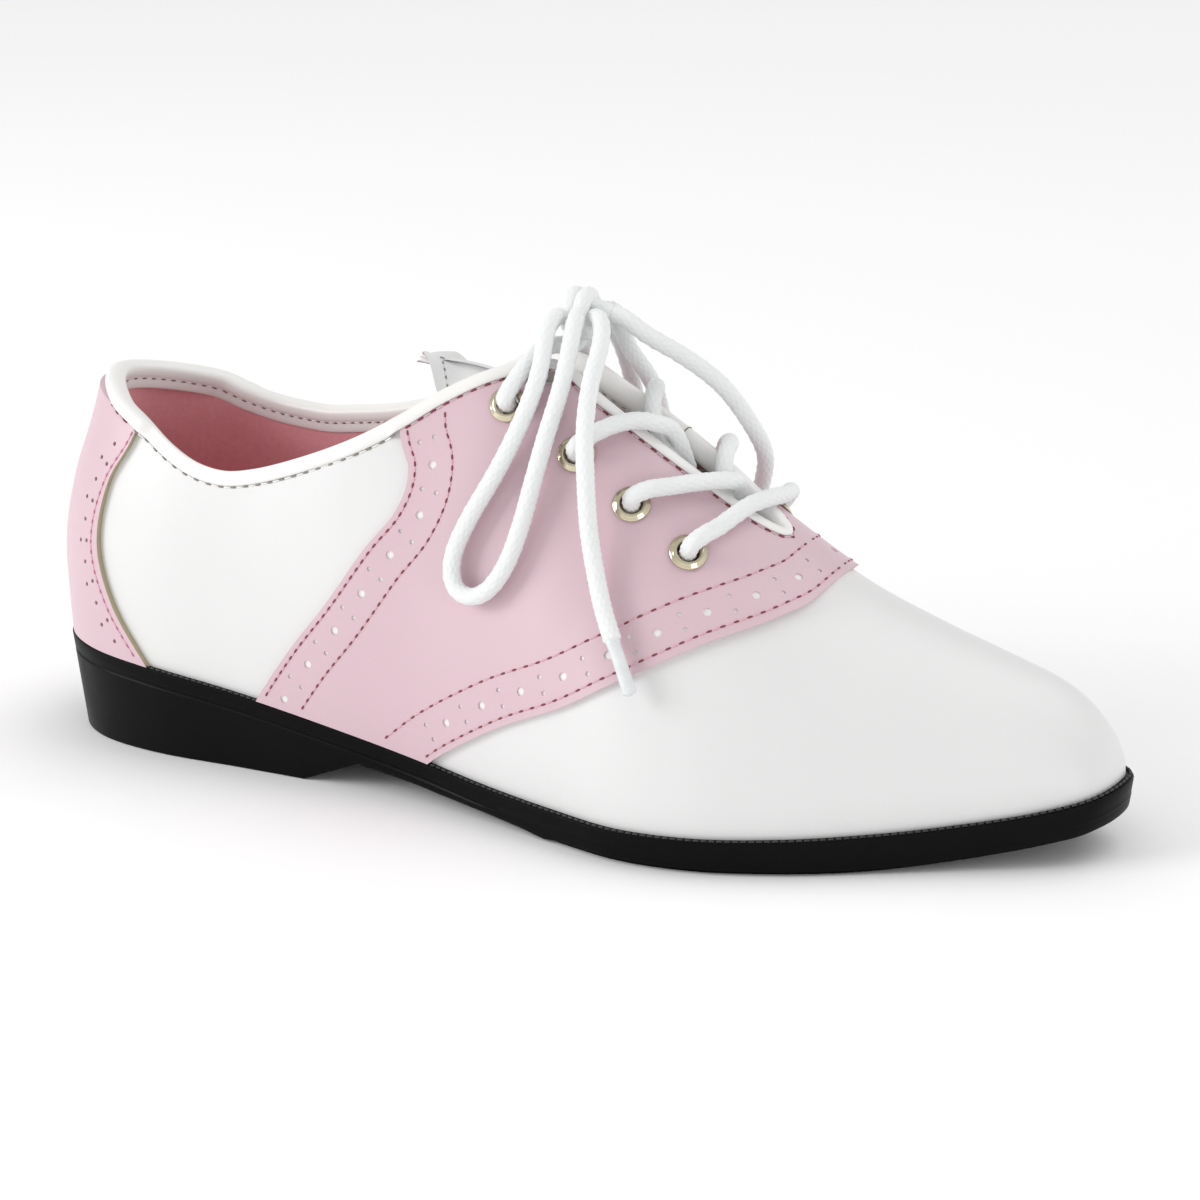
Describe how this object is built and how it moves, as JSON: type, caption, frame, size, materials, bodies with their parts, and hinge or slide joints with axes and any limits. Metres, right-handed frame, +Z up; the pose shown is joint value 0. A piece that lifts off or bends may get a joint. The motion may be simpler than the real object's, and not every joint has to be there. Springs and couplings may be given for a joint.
{
  "type": "saddle shoe",
  "caption": "Low lace-up saddle shoe with a pointed toe, contrasting saddle and heel strap, rolled collar edge, metal eyelets and a moulded sole with a low heel.",
  "frame": {"origin": "on the floor, under the middle of the shoe's length and width, measured without the loose lace", "axes": "+X from the heel to the toe, +Y from the outer side to the inner side, +Z up"},
  "size_m": [0.2586, 0.0884, 0.1125],
  "materials": {
    "sole_rubber": "satin moulded",
    "insole_cloth": "sueded sock lining",
    "white_leather": "smooth semi-gloss synthetic",
    "pink_leather": "smooth semi-gloss synthetic, pinked holes and stitching",
    "white_binding": "rolled edge, stitched",
    "nickel": "polished nickel",
    "lace_braid": "round polyester braid"
  },
  "bodies": {
    "root": {"outsole": "sole_rubber", "insole": "insole_cloth", "upper": "white_leather", "saddle": "pink_leather", "heel_strap": "pink_leather", "collar_binding": "white_binding", "tongue": "white_leather", "eyelet_outer_1": "nickel", "eyelet_outer_2": "nickel", "eyelet_outer_3": "nickel", "eyelet_outer_4": "nickel", "eyelet_inner_1": "nickel", "eyelet_inner_2": "nickel", "eyelet_inner_3": "nickel", "eyelet_inner_4": "nickel", "lace_bar": "lace_braid", "lace_crossing_1": "lace_braid", "lace_crossing_2": "lace_braid", "lace_crossing_3": "lace_braid", "lace_knot": "lace_braid", "lace_loop_outer": "lace_braid", "lace_loop_inner": "lace_braid", "lace_end_outer": "lace_braid", "lace_end_inner": "lace_braid"}
  },
  "joints": []
}
